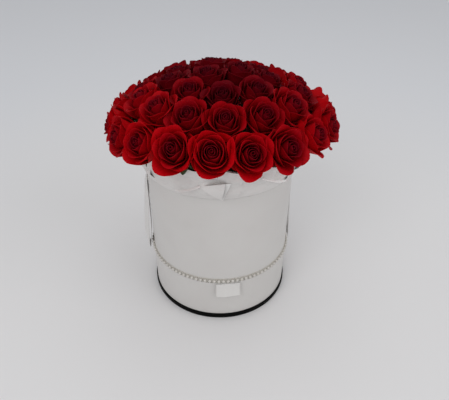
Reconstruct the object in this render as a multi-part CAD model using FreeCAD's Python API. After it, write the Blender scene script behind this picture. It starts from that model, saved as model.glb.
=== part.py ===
import FreeCAD, Part
import math
import os

# A round two-tier flower box. A board tube stands on a black base. Its lower
# tier is a drawer with a ribbon tab, and its upper tier holds an insert: a tub
# with floral foam, and a dome of roses whose stems stand in the foam.
# Millimetres, +Z up, origin on the table under the middle of the box. The
# drawer faces -Y and the two ribbon handles hang at -X and +X.

V = FreeCAD.Vector
UP = V(0, 0, 1)

# Box body
box_radius = 125.0
box_height = 265.0
wall_board = 2.4
cover_paper = 0.4
lining_paper = 0.3
rim_turn_in = 15.0
seam_height = 88.0
divider_board = 2.5
cleat_board = 2.5
cleat_height = 10.0
cleat_end_setback = 4.0

# Base
pad_thickness = 2.5
pad_inset = 0.6
base_board = 7.0
base_lip = 2.2
base_turn_in = 12.0

# Bead trim round the seam
trim_width = 9.0
trim_tape = 0.5
trim_lift = 0.5
pearl_radius = 3.0
pearl_stand_off = 1.2
pearl_pitch = 8.0

# Drawer
drawer_side_gap = 1.2
drawer_floor_gap = 0.4
drawer_end_gap = 0.6
drawer_top_gap = 1.1
tray_board = 2.2
tray_head_room = 2.0
tray_lining_trim = 1.0

# Pull tab, a doubled ribbon that comes over the drawer front's top edge
tab_width = 43.0
tab_drop = 26.0
tab_ribbon = 0.5
tab_double = 1.0
tab_lap = 3.0
tab_top_setback = 0.5
tab_gap = 0.3
tab_bow = 3.7
tab_tail_lift = 1.0

# Ribbon handles and the slotted eyelets that they hang from
handle_ribbon_width = 22.0
handle_ribbon = 0.8
handle_loop_above_seam = 5.0
handle_loop_radius = 9.0
handle_trim_gap = 0.8
handle_top_gap = 0.7
eyelet_below_rim = 27.0
eyelet_side_room = 1.5
eyelet_slot_height = 4.0
eyelet_sleeve = 0.6
eyelet_flange = 2.5
eyelet_flange_thickness = 0.8
tail_length = 33.0
tail_thickness = 0.8
tail_strip = 1.0

# Insert: tub, riser block, foam and paper collar
insert_clearance = 1.0
insert_floor_gap = 0.3
tub_wall = 1.0
tub_below_rim = 10.0
riser_height = 110.0
fill_gap = 1.0
mound_above_rim = 5.0
mound_height = 80.0
collar_paper = 0.6
collar_gap = 0.3
collar_depth = 18.0
collar_lift = 2.0
collar_rise = 47.0
collar_crest = 30.0
collar_valley = 22.0
collar_folds = 18

# Roses: blooms set out on an elliptical dome, a top group and rings below it, each turned as in the photo
ring_turns = (-43.5, -2.8, -2.2, -10.0)
first_gap = 44.71
ring_step = 49.7
bloom_pitch = 49.0
dome_edge = 7.6
dome_tilt = 2.0
dome_rise = 90.0
dome_top_above_rim = 136.0
bloom_radius = 22.5
bloom_height = 44.0
bloom_neck = 8.0
bloom_mouth = 13.5
bloom_crown = 1.5
bloom_cheek_bulge = 2.4
bloom_shoulder_bulge = 2.0
hip_radius = 5.5
hip_seat = 4.0
stem_radius = 2.5
stem_length = 100.0
stem_focus_below_rim = 3.0

# Levels and radii that follow from the sizes above
base_radius = box_radius + base_lip
board_top = pad_thickness + base_board
base_top = board_top + cover_paper
wall_outer = box_radius - cover_paper
wall_inner = wall_outer - wall_board
lining_inner = wall_inner - lining_paper
turn_in_inner = wall_inner - cover_paper
divider_top = seam_height + divider_board
turn_in_low = box_height - rim_turn_in
cleat_low = seam_height - cleat_height
drawer_low = base_top + drawer_floor_gap
front_top = seam_height - drawer_top_gap
tray_radius = wall_inner - drawer_side_gap
tray_inner = tray_radius - tray_board
tray_floor_top = drawer_low + tray_board
tray_top = cleat_low - tray_head_room
tape_outer = box_radius + trim_tape
trim_low = seam_height + trim_lift
pearl_reach = tape_outer + pearl_stand_off
eyelet_height = box_height - eyelet_below_rim
flange_outer = box_radius + eyelet_flange_thickness
tail_inner = lining_inner - tail_thickness
tub_radius = tail_inner - insert_clearance
tub_low = divider_top + insert_floor_gap
tub_floor_top = tub_low + tub_wall
tub_top = box_height - tub_below_rim
fill_radius = tub_radius - tub_wall - fill_gap
riser_top = tub_floor_top + riser_height
mound_low = box_height + mound_above_rim
mound_top = mound_low + mound_height
collar_inner = tub_radius + collar_gap
collar_outer = collar_inner + collar_paper
collar_low = box_height - collar_depth
collar_bend = box_height + collar_lift
collar_top = collar_bend + collar_rise
top_reach = bloom_pitch / math.sqrt(3)
first_ring = top_reach + first_gap
ring_lengths = [top_reach] + [first_ring + ring_step * k for k in range(len(ring_turns) - 1)]
dome_reach = ring_lengths[-1] + dome_edge
dome_top = box_height + dome_top_above_rim
stem_focus = V(0, 0, box_height - stem_focus_below_rim)


def disc(radius, low, high):
    return Part.makeCylinder(radius, high - low, V(0, 0, low))


def ring(outer, inner, low, high):
    return disc(outer, low, high).cut(disc(inner, low, high))


def front_block(setback, low, high):
    """All of the space in front of y = -setback, between two levels."""
    reach = 2 * box_radius
    return Part.makeBox(2 * reach, reach, high - low, V(-reach, -reach - setback, low))


def back_block(setback, low, high):
    """All of the space behind y = setback, between two levels."""
    reach = 2 * box_radius
    return Part.makeBox(2 * reach, reach, high - low, V(-reach, setback, low))


def closed_face(edges):
    return Part.Face(Part.Wire(edges))


def profile_face(points):
    """A face in the XZ plane from (radius, level) pairs."""
    corners = [V(r, 0, z) for r, z in points]
    return Part.Face(Part.makePolygon(corners + corners[:1]))


def revolved(face):
    return face.revolve(V(0, 0, 0), UP, 360)


def front_strip(shape, width):
    """The part of a round shape that lies within width of the front's middle."""
    reach = 2 * box_radius
    return shape.common(Part.makeBox(width, reach, 2 * box_height, V(-width / 2, -reach, 0)))


def left_strip(shape, width):
    """The part of a round shape that lies within width of the left side's middle."""
    reach = 2 * box_radius
    return shape.common(Part.makeBox(reach, width, 2 * box_height, V(-reach, -width / 2, 0)))


def right_side(shape):
    """A copy of a left-hand piece, turned half round to the right-hand side."""
    copy = shape.copy()
    copy.rotate(V(0, 0, 0), UP, 180)
    return copy


def slot_block(length, height):
    """A block with round ends that runs out through the left wall at the eyelet."""
    half = (length - height) / 2
    reach = 2 * box_radius
    block = Part.makeBox(reach, 2 * half, height, V(-reach, -half, eyelet_height - height / 2))
    for side in (-half, half):
        end = Part.makeCylinder(height / 2, reach, V(-reach, side, eyelet_height), V(1, 0, 0))
        block = block.fuse(end)
    return block.removeSplitter()


def both_slots(shape, length, height):
    """A tube with the left and right eyelet slots cut through it."""
    block = slot_block(length, height)
    return shape.cut(block).cut(right_side(block))


def save(name, solids):
    shape = solids[0] if len(solids) == 1 else Part.makeCompound(solids)
    for solid in shape.Solids:
        if not solid.isValid():
            print("not valid:", name)
    shape.exportStep("parts/" + name + ".step")
    print(name, len(shape.Solids), round(shape.Volume))


def base():
    pad = disc(base_radius - pad_inset, 0, pad_thickness)
    board = disc(base_radius - cover_paper, pad_thickness, board_top)
    wrap = revolved(profile_face([
        (base_radius - cover_paper, pad_thickness),
        (base_radius, pad_thickness),
        (base_radius, base_top),
        (base_radius - base_turn_in, base_top),
        (base_radius - base_turn_in, board_top),
        (base_radius - cover_paper, board_top),
    ]))
    save("base_pad", [pad])
    save("base_board", [board])
    save("base_wrap", [wrap])


def tube():
    """The board tube, open at the front of the lower tier, with its papers."""
    window = front_block(0, 0, seam_height)
    slot_length = handle_ribbon_width + 2 * eyelet_side_room + 2 * eyelet_sleeve
    slot_height = eyelet_slot_height + 2 * eyelet_sleeve
    board_high = box_height - cover_paper
    board = ring(wall_outer, wall_inner, base_top, board_high).cut(window)
    paper = revolved(profile_face([
        (wall_outer, base_top),
        (box_radius, base_top),
        (box_radius, box_height),
        (turn_in_inner, box_height),
        (turn_in_inner, turn_in_low),
        (wall_inner, turn_in_low),
        (wall_inner, board_high),
        (wall_outer, board_high),
    ])).cut(window)
    inside = ring(wall_inner, lining_inner, divider_top, turn_in_low)
    save("box_tube", [both_slots(board, slot_length, slot_height)])
    save("cover_paper", [both_slots(paper, slot_length, slot_height)])
    save("lining_paper", [both_slots(inside, slot_length, slot_height)])


def divider():
    cleat = ring(wall_inner, wall_inner - cleat_board, cleat_low, seam_height)
    save("divider_disc", [disc(wall_inner, seam_height, divider_top)])
    save("divider_cleat", [cleat.common(back_block(cleat_end_setback, cleat_low, seam_height))])


def trim():
    """The tape over the seam, with a row of flat-backed pearls glued round it."""
    middle = trim_low + trim_width / 2
    ball = Part.makeSphere(pearl_radius, V(0, -pearl_reach, middle))
    pearl = ball.cut(disc(tape_outer, trim_low, trim_low + trim_width))
    count = round(2 * math.pi * pearl_reach / pearl_pitch)
    pearls = []
    for k in range(count):
        copy = pearl.copy()
        copy.rotate(V(0, 0, 0), UP, 360 * k / count)
        pearls.append(copy)
    save("trim_tape", [ring(tape_outer, box_radius, trim_low, trim_low + trim_width)])
    save("trim_pearls", pearls)


def drawer():
    front_half = front_block(drawer_end_gap, drawer_low, front_top)
    front = ring(wall_outer, tray_radius, drawer_low, front_top).common(front_half)
    paper = ring(box_radius, wall_outer, drawer_low, front_top).common(front_half)
    sheet_radius = tray_inner - tray_lining_trim
    save("drawer_front", [front])
    save("drawer_front_paper", [paper])
    save("drawer_floor", [disc(tray_radius, drawer_low, tray_floor_top)])
    save("drawer_wall", [ring(tray_radius, tray_inner, tray_floor_top, tray_top)])
    save("drawer_lining", [disc(sheet_radius, tray_floor_top, tray_floor_top + cover_paper)])


def pull_tab():
    """The ribbon's glued end over the drawer front's edge, and the tab that hangs from it."""
    lap_outer = box_radius + tab_ribbon
    anchor = revolved(profile_face([
        (tray_radius - tab_ribbon, tray_top + tab_tail_lift),
        (tray_radius, tray_top + tab_tail_lift),
        (tray_radius, front_top),
        (box_radius, front_top),
        (box_radius, front_top - tab_lap),
        (lap_outer, front_top - tab_lap),
        (lap_outer, front_top + tab_ribbon),
        (tray_radius - tab_ribbon, front_top + tab_ribbon),
    ]))
    high = front_top - tab_top_setback
    near = lap_outer + tab_gap
    far = near + tab_double

    def bow(reach):
        middle = V(0, -reach - tab_bow / 4, high - tab_drop / 2)
        return Part.Arc(V(0, -reach, high), middle, V(0, -reach - tab_bow, high - tab_drop))

    back = bow(near)
    face = bow(far)
    outline = closed_face([
        back.toShape(),
        Part.LineSegment(back.EndPoint, face.EndPoint).toShape(),
        face.toShape(),
        Part.LineSegment(face.StartPoint, back.StartPoint).toShape(),
    ])
    tab = outline.extrude(V(tab_width, 0, 0))
    tab.translate(V(-tab_width / 2, 0, 0))
    save("tab_anchor", [front_strip(anchor, tab_width)])
    save("pull_tab", [tab])


def teardrop(tip, middle, radius):
    """A face in the XZ plane: a circle, and the two lines from a tip that touch it."""
    to_tip = tip - middle
    turn = math.acos(radius / to_tip.Length)
    along = V(to_tip).normalize()
    across = V(-along.z, 0, along.x)
    touch = []
    for side in (1, -1):
        spoke = along * math.cos(turn) + across * (side * math.sin(turn))
        touch.append(middle + spoke * radius)
    return closed_face([
        Part.LineSegment(tip, touch[0]).toShape(),
        Part.Arc(touch[0], middle - along * radius, touch[1]).toShape(),
        Part.LineSegment(touch[1], tip).toShape(),
    ])


def handle_loop():
    """A ribbon loop that hangs from the left eyelet and stands off over the bead trim."""
    trim_outer = pearl_reach + pearl_radius
    tip = V(-flange_outer - handle_top_gap, 0, eyelet_height)
    stand_off = trim_outer + handle_trim_gap + handle_loop_radius
    middle = V(-stand_off, 0, seam_height + handle_loop_above_seam)
    outer = teardrop(tip, middle, handle_loop_radius)
    slope = handle_loop_radius / (tip - middle).Length
    lowered = V(middle - tip).normalize() * (handle_ribbon / slope)
    inner = teardrop(tip + lowered, middle, handle_loop_radius - handle_ribbon)
    loop = outer.cut(inner).extrude(V(0, handle_ribbon_width, 0))
    loop.translate(V(0, -handle_ribbon_width / 2, 0))
    return loop.Solids[0]


def handle_tail():
    """The ribbon's end: in through the slot, then glued down the inside of the wall."""
    half_strip = tail_strip / 2
    profile = profile_face([
        (tail_inner, eyelet_height - tail_length),
        (lining_inner, eyelet_height - tail_length),
        (lining_inner, eyelet_height - half_strip),
        (flange_outer, eyelet_height - half_strip),
        (flange_outer, eyelet_height + half_strip),
        (tail_inner, eyelet_height + half_strip),
    ])
    return left_strip(revolved(profile), handle_ribbon_width).Solids[0]


def eyelet():
    """A metal slot ring: a sleeve through the wall and a flange on the outside."""
    length = handle_ribbon_width + 2 * eyelet_side_room
    low = eyelet_height - eyelet_below_rim
    high = eyelet_height + eyelet_below_rim
    sleeve = slot_block(length + 2 * eyelet_sleeve, eyelet_slot_height + 2 * eyelet_sleeve)
    flange = slot_block(length + 2 * eyelet_flange, eyelet_slot_height + 2 * eyelet_flange)
    body = sleeve.common(ring(box_radius, lining_inner, low, high))
    body = body.fuse(flange.common(ring(flange_outer, box_radius, low, high)))
    return body.cut(slot_block(length, eyelet_slot_height)).removeSplitter().Solids[0]


def handles():
    pieces = {"handle": handle_loop(), "handle_tail": handle_tail(), "eyelet": eyelet()}
    for name, shape in pieces.items():
        save(name + "_left", [shape])
        save(name + "_right", [right_side(shape)])


def fluted_wire(level, crest, valley):
    """A closed ring of arcs that swings out to crest and in to valley at each fold."""
    spans = 2 * collar_folds
    step = math.pi / collar_folds
    mean = (crest + valley) / 2

    def at(radius, angle):
        return V(radius * math.cos(angle), radius * math.sin(angle), level)

    arcs = []
    for k in range(spans):
        swing = crest if k % 2 == 0 else valley
        start = at(mean, k * step)
        end = at(mean, (k + 1) * step)
        arcs.append(Part.Arc(start, at(swing, (k + 0.5) * step), end).toShape())
    return Part.Wire(arcs)


def collar():
    """The paper collar: a band inside the rim that opens out in folds under the roses."""
    band = ring(collar_outer, collar_inner, collar_low, collar_bend)
    skins = []
    for radius in (collar_outer, collar_inner):
        low = fluted_wire(collar_bend, radius, radius)
        high = fluted_wire(collar_top, radius + collar_crest, radius + collar_valley)
        skins.append(Part.makeLoft([low, high], True, True))
    save("paper_collar", [band.fuse(skins[0].cut(skins[1])).Solids[0]])


def bulged_arc(start, end, bulge):
    """An arc from start to end whose middle stands out from the chord by bulge."""
    chord = end - start
    out = V(chord.z, 0, -chord.x).normalize()
    return Part.Arc(start, (start + end) * 0.5 + out * bulge, end).toShape()


def bloom_solid():
    """The closed outer form of one half-open rose, standing on its hip along +Z."""
    root = V(0, 0, hip_seat)
    neck = V(bloom_neck, 0, hip_seat)
    cheek = V(bloom_radius, 0, (hip_seat + bloom_height) / 2)
    mouth = V(bloom_mouth, 0, bloom_height - bloom_crown)
    crown = V(0, 0, bloom_height)
    return revolved(closed_face([
        Part.LineSegment(root, neck).toShape(),
        bulged_arc(neck, cheek, bloom_cheek_bulge),
        bulged_arc(cheek, mouth, bloom_shoulder_bulge),
        Part.LineSegment(mouth, crown).toShape(),
        Part.LineSegment(crown, root).toShape(),
    ]))


def hip_solid():
    ball = Part.makeSphere(hip_radius)
    return ball.cut(disc(2 * hip_radius, hip_seat, 2 * hip_radius))


def dome_point(angle):
    """Radius and level on the dome at a parametric angle down from its top."""
    return dome_reach * math.sin(angle), dome_top - dome_rise * (1 - math.cos(angle))


def ring_angles():
    """Angles down the dome at which its length from the top comes to each ring's."""
    angles = []
    steps = 2000
    length = 0.0
    last = dome_point(0.0)
    for k in range(1, steps + 1):
        angle = 0.5 * math.pi * k / steps
        here = dome_point(angle)
        length += math.dist(last, here)
        last = here
        if len(angles) < len(ring_lengths) and length >= ring_lengths[len(angles)]:
            angles.append(angle)
    return angles


def roses_of_ring(angle, number):
    """Hip position and bloom axis of each rose of one ring of the dome."""
    radius, level = dome_point(angle)
    half_step = math.asin(min(1.0, bloom_pitch / (2 * radius)))
    count = math.floor(math.pi / half_step + 0.1)
    steep = math.atan2(dome_reach * math.cos(angle), dome_rise * math.sin(angle))
    stem_lean = math.atan2(level - stem_focus.z, radius)
    lean = (steep + stem_lean) / 2
    lean_back = FreeCAD.Rotation(V(1, 0, 0), -dome_tilt)
    pivot = UP * (dome_top - dome_rise)
    roses = []
    for k in range(count):
        turn = 2 * math.pi * k / count + math.radians(ring_turns[number] - 90)
        out = V(math.cos(turn), math.sin(turn), 0)
        axis = out * math.cos(lean) + UP * math.sin(lean)
        place = out * radius + UP * level - axis * (bloom_height / 2)
        roses.append((pivot + lean_back.multVec(place - pivot), lean_back.multVec(axis)))
    return roses


def planted(shape, place, axis):
    copy = shape.copy()
    copy.Placement = FreeCAD.Placement(place, FreeCAD.Rotation(UP, axis))
    return copy


def roses():
    """Blooms, hips and stems, ring by ring. Returns the stems for the foam's bores."""
    bloom = bloom_solid()
    hip = hip_solid()
    all_stems = []
    for number, angle in enumerate(ring_angles()):
        blooms = []
        hips = []
        stems = []
        for place, axis in roses_of_ring(angle, number):
            blooms.append(planted(bloom, place, axis))
            hips.append(planted(hip, place, axis))
            inward = V(stem_focus - place).normalize()
            stem = Part.makeCylinder(stem_radius, stem_length, place, inward)
            stems.append(stem.cut(Part.makeSphere(hip_radius, place)))
        tier = "top" if number == 0 else "ring_" + str(number)
        save("blooms_" + tier, blooms)
        save("hips_" + tier, hips)
        save("stems_" + tier, stems)
        all_stems += stems
    return all_stems


def insert(stems):
    tub = revolved(profile_face([
        (0, tub_low),
        (tub_radius, tub_low),
        (tub_radius, tub_top),
        (tub_radius - tub_wall, tub_top),
        (tub_radius - tub_wall, tub_floor_top),
        (0, tub_floor_top),
    ]))
    top = V(0, 0, mound_top)
    edge = V(fill_radius, 0, mound_low)
    cap_radius = (fill_radius ** 2 + mound_height ** 2) / (2 * mound_height)
    half_cap = math.asin(fill_radius / cap_radius) / 2
    middle = V(cap_radius * math.sin(half_cap), 0, mound_top - cap_radius * (1 - math.cos(half_cap)))
    foam = revolved(closed_face([
        Part.LineSegment(V(0, 0, riser_top), V(fill_radius, 0, riser_top)).toShape(),
        Part.LineSegment(V(fill_radius, 0, riser_top), edge).toShape(),
        Part.Arc(edge, middle, top).toShape(),
        Part.LineSegment(top, V(0, 0, riser_top)).toShape(),
    ]))
    foam = foam.cut(Part.makeCompound(stems))
    reach = 2 * box_radius
    tall = mound_top - riser_top
    right_half = Part.makeBox(reach, 2 * reach, tall, V(0, -reach, riser_top))
    left_half = Part.makeBox(reach, 2 * reach, tall, V(-reach, -reach, riser_top))
    save("liner_tub", [tub])
    save("riser_block", [disc(fill_radius, tub_floor_top, riser_top)])
    save("foam_left", foam.common(left_half).Solids)
    save("foam_right", foam.common(right_half).Solids)


os.makedirs("parts", exist_ok=True)
base()
tube()
divider()
trim()
drawer()
pull_tab()
handles()
collar()
insert(roses())
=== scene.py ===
# %% [markdown]
# # A round flower box with a dome of red roses
# The box is white paper over a board tube. A drawer slides out of its foot, two ribbon loops hang
# at its sides, and an insert with 47 roses lifts out of its top.
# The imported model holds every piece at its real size, so it is loaded first, as a fixed frame.
# Hard pieces keep their shape and get a finish. Soft pieces are made new, around the frame.

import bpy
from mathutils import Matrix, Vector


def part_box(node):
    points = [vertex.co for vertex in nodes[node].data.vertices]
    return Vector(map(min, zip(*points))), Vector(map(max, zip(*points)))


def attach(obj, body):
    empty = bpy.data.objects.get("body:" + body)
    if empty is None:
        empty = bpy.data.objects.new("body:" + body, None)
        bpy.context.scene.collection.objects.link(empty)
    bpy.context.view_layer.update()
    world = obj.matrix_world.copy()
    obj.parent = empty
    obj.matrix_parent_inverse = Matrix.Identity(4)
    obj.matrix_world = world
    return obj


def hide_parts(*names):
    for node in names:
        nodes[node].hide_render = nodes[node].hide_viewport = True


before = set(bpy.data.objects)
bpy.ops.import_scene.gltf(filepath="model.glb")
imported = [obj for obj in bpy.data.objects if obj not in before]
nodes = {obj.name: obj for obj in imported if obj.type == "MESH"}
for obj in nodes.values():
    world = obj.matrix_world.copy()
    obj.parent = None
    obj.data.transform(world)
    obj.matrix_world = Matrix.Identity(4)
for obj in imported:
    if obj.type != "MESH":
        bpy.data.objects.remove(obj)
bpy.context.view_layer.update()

# %% Modules, the unit and the sizes that the frame gives
import math
from collections import namedtuple

import bpy
import numpy as np
from mathutils import Matrix, Vector

MM = 0.001
cover_low, cover_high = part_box("cover_paper")
wall_radius = cover_high.x
rim_height = cover_high.z
seam_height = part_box("trim_tape")[0].z
print(f"wall radius {wall_radius:.4f} m, rim {rim_height:.4f} m, seam {seam_height:.4f} m")


# %% Points round the axis
def round_axis(reach, bearing, height):
    """Points at a distance from the Z axis, a bearing in radians and a height, as numbers or arrays."""
    east, north, up = np.broadcast_arrays(reach * np.cos(bearing), reach * np.sin(bearing), height)
    return np.stack([east, north, up], axis=-1)


print("the seam's front is at", round_axis(wall_radius, -math.pi / 2, seam_height).round(3))

# %% [markdown]
# ## Camera
# The picture looks down on the box from the front, a little to its left. The camera could be placed
# by eye, but the round edges of base, seam and rim fix it: their ellipses give the distance, the
# height and the lens. The box stands a few pixels left of the middle, which is a small lens shift.

# %% Place the camera
picture_width = 449
focal_pixels = 462
axis_pixel = 219.8
sensor_width = 36.0
aim_height = 0.125
camera_distance = 0.875
camera_azimuth = math.radians(-6.5)
camera_elevation = math.radians(38.1)
view_pitch = math.radians(35.5)

lens = bpy.data.cameras.new("camera")
lens.sensor_width = sensor_width
lens.lens = sensor_width * focal_pixels / picture_width
lens.shift_x = (picture_width / 2 - axis_pixel) / picture_width
camera = bpy.data.objects.new("camera", lens)
bpy.context.scene.collection.objects.link(camera)
level_distance = camera_distance * math.cos(camera_elevation)
camera.location = (
    level_distance * math.sin(camera_azimuth),
    -level_distance * math.cos(camera_azimuth),
    aim_height + camera_distance * math.sin(camera_elevation),
)
camera.rotation_euler = (math.pi / 2 - view_pitch, 0, camera_azimuth)
bpy.context.scene.camera = camera
bpy.context.scene.view_settings.view_transform = "Standard"
print("camera at", tuple(round(x, 3) for x in camera.location), "lens", round(lens.lens, 2), "mm")

# %% [markdown]
# ## Shader maths
# Every finish here is a small network of nodes. Nodes could be added and linked one by one, but then
# a formula is lost among the links. This class wraps a socket, so that a formula on wires writes the
# Math nodes by itself, and one method adds any other node, with its settings first.

# %% The wire class
class Wire:
    """One socket of a node tree. Sums and products of wires add Math nodes to that tree."""

    def __init__(self, tree, socket=None):
        self.tree = tree
        self.socket = socket

    def node(self, kind, settings=None, inputs=None, output=0):
        """Adds a node, sets its settings and then its sockets, and returns one of its outputs."""
        made = self.tree.nodes.new(kind)
        for name, value in (settings or {}).items():
            setattr(made, name, value)
        for name, value in (inputs or {}).items():
            if isinstance(value, Wire):
                self.tree.links.new(value.socket, made.inputs[name])
            else:
                made.inputs[name].default_value = value
        return Wire(self.tree, made.outputs[output] if made.outputs else None)

    def output(self, name):
        """Another output of the node that this wire comes from."""
        return Wire(self.tree, self.socket.node.outputs[name])

    def maths(self, operation, *values):
        """A Math node on these values, which are wires or numbers."""
        return self.node("ShaderNodeMath", {"operation": operation}, dict(enumerate(values)))

    def __add__(self, other):
        return self.maths("ADD", self, other)

    def __sub__(self, other):
        return self.maths("SUBTRACT", self, other)

    def __rsub__(self, other):
        return self.maths("SUBTRACT", other, self)

    def __mul__(self, other):
        return self.maths("MULTIPLY", self, other)

    def __abs__(self):
        return self.maths("ABSOLUTE", self)

    __radd__ = __add__
    __rmul__ = __mul__


print("wire class ready")

# %% [markdown]
# ## Patterns and layers
# A finish is a ground colour under a few thin layers: dirt, rubbing, veins. Each layer has a pattern
# that says where it lies, and how much it covers there. A Color Ramp could hold the colours, but a mix
# of two paints can be read in one line. A scale on object coordinates is in grains to the metre, so
# a pattern keeps its true size on any piece.

# %% Colours
MIX_FACTOR, MIX_FIRST, MIX_SECOND, MIX_COLOUR = 0, 6, 7, 2


def paint(red, green, blue):
    """A colour of a paint chart, from 0 to 255, as the linear colour that a shader takes."""
    chart = np.array((red, green, blue)) / 255
    linear = np.where(chart <= 0.04045, chart / 12.92, ((chart + 0.055) / 1.055) ** 2.4)
    return (*linear.tolist(), 1.0)


def mixed(share, first, second):
    """The first colour where share is 0, the second where it is 1. Three plain numbers are a paint."""
    first, second = (paint(*colour) if isinstance(colour, tuple) else colour for colour in (first, second))
    sockets = {MIX_FACTOR: share, MIX_FIRST: first, MIX_SECOND: second}
    return share.node("ShaderNodeMix", {"data_type": "RGBA"}, sockets, MIX_COLOUR)


def layered(ground, *layers):
    """A ground of (pattern, colour, colour) under layers of (pattern, how much it covers, colour)."""
    colour = mixed(*ground)
    for pattern, cover, tint in layers:
        colour = mixed(pattern * cover, colour, tint)
    return colour


print("white is", paint(255, 255, 255))


# %% Patterns
def eased(value, low, high):
    """0 below low, 1 above high, and a smooth rise between them."""
    sockets = {"Value": value, "From Min": low, "From Max": high}
    return value.node("ShaderNodeMapRange", {"interpolation_type": "SMOOTHSTEP"}, sockets)


def noise(place, scale, detail=3.0):
    """Soft clouds from 0 to 1."""
    return place.node("ShaderNodeTexNoise", {}, {"Vector": place, "Scale": scale, "Detail": detail})


def streaks(place, scales, detail):
    """A noise with its own scale along each axis, which draws fibres or streaks."""
    return noise(place.node("ShaderNodeMapping", {}, {"Vector": place, "Scale": scales}), 1.0, detail)


def waves(value, pitch):
    """Even waves from -1 to 1, a pitch apart."""
    return value.maths("SINE", value * (2 * math.pi / pitch))


def coordinate(vector, axis):
    """One coordinate of a vector, by its letter."""
    return vector.node("ShaderNodeSeparateXYZ", {}, {0: vector}, axis)


def mark(place, name, output="Fac"):
    """A number that each point of a mesh carries, or three of them from the output Vector."""
    return place.node("ShaderNodeAttribute", {"attribute_name": name}, output=output)


print("patterns:", [made.__name__ for made in (eased, noise, streaks, waves, coordinate, mark)])


# %% Start, close and wear a finish
def new_finish(name):
    """An empty material, and its object coordinates in metres."""
    material = bpy.data.materials.new(name)
    material.use_nodes = True
    material.node_tree.nodes.clear()
    return material, Wire(material.node_tree).node("ShaderNodeTexCoord", output="Object")


def close_finish(material, colour, roughness, height=None, relief=None, fixed=None):
    """Feeds the patterns of a finish to its shader. Height is a pattern from 0 to 1, relief its depth."""
    start = Wire(material.node_tree)
    sockets = {"Base Color": colour, "Roughness": roughness, **(fixed or {})}
    if height is not None:
        sockets["Normal"] = start.node("ShaderNodeBump", {}, {"Height": height, "Distance": relief})
    shader = start.node("ShaderNodeBsdfPrincipled", {}, sockets)
    start.node("ShaderNodeOutputMaterial", {}, {"Surface": shader})
    print("finish", material.name, len(material.node_tree.nodes), "nodes")


def wear(material, *names):
    """Puts a finish on CAD nodes, whose shape stays as it is."""
    for name in names:
        nodes[name].data.materials.clear()
        nodes[name].data.materials.append(material)


print(len(nodes), "nodes to finish or to replace")

# %% [markdown]
# ## Studio
# The object stands on a plain pale floor in soft light. A backdrop could be modelled, but the camera
# looks down so far that the floor fills the picture. The floor darkens slightly away from the box,
# and beyond it the world shows the same pale grey to the camera, while it lights the scene evenly.

# %% Floor
floor_reach = 9.0
floor_sides = 96
shade_start, shade_end = 0.35, 1.3

floor_finish, place = new_finish("floor_finish")
from_axis = place.node("ShaderNodeVectorMath", {"operation": "LENGTH"}, {0: place}, "Value")
floor_colour = mixed(eased(from_axis, shade_start, shade_end), (226, 225, 225), (222, 223, 226))
floor_roughness = 0.7 + 0.1 * noise(place, 40.0)
close_finish(floor_finish, floor_colour, floor_roughness, fixed={"Specular IOR Level": 0.2})
floor_angles = np.linspace(0, 2 * math.pi, floor_sides, endpoint=False)
floor_points = round_axis(floor_reach, floor_angles, 0.0).tolist()
floor_mesh = bpy.data.meshes.new("floor")
floor_mesh.from_pydata(floor_points, [], [list(range(floor_sides))])
floor_mesh.materials.append(floor_finish)
floor = bpy.data.objects.new("floor", floor_mesh)
bpy.context.scene.collection.objects.link(floor)
print("floor radius", floor_reach, "m")

# %% World
ambient_strength = 0.6
ambient_colour = (0.97, 0.98, 1.0, 1.0)
backdrop_colour = paint(196, 197, 200)

world = bpy.data.worlds.new("studio")
world.use_nodes = True
world.node_tree.nodes.clear()
bpy.context.scene.world = world
start = Wire(world.node_tree)
camera_ray = start.node("ShaderNodeLightPath", output="Is Camera Ray")
seen_rays = camera_ray + camera_ray.output("Is Glossy Ray") + camera_ray.output("Is Transmission Ray")
seen_share = camera_ray.maths("MINIMUM", seen_rays, 1.0)
lit = start.node("ShaderNodeBackground", {}, {"Color": ambient_colour, "Strength": ambient_strength})
seen = start.node("ShaderNodeBackground", {}, {"Color": backdrop_colour, "Strength": 1.0})
sky = start.node("ShaderNodeMixShader", {}, {0: seen_share, 1: lit, 2: seen})
start.node("ShaderNodeOutputWorld", {}, {"Surface": sky})
print("ambient", ambient_strength)


# %% Softboxes
def softbox(name, location, aim, size, power):
    """A square lamp that points at aim."""
    lamp = bpy.data.lights.new(name, "AREA")
    lamp.size = size
    lamp.energy = power
    box = bpy.data.objects.new(name, lamp)
    bpy.context.scene.collection.objects.link(box)
    box.location = location
    box.rotation_euler = (Vector(aim) - Vector(location)).to_track_quat("-Z", "Y").to_euler()
    print("softbox", name, power, "W")


box_middle = (0, 0, 0.2)
softbox("key_softbox", location=(-1.3, -1.9, 2.1), aim=box_middle, size=1.6, power=20.0)
softbox("fill_softbox", location=(1.8, -1.4, 1.5), aim=box_middle, size=1.8, power=11.0)
softbox("top_softbox", location=(0.2, 0.5, 2.8), aim=box_middle, size=2.0, power=6.0)

# %% [markdown]
# ## Box finishes
# The wall is white laminated paper, wrapped and glued, so it is smooth, a little uneven and slightly
# shiny, and it greys where fingers and edges rub it. An image could hold all that, but noise on the
# object's own coordinates has the right scale anywhere. The height above the table finds the edges.

# %% White cover paper
front_low, front_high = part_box("drawer_front_paper")
rub_width = 2.5 * MM

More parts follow.
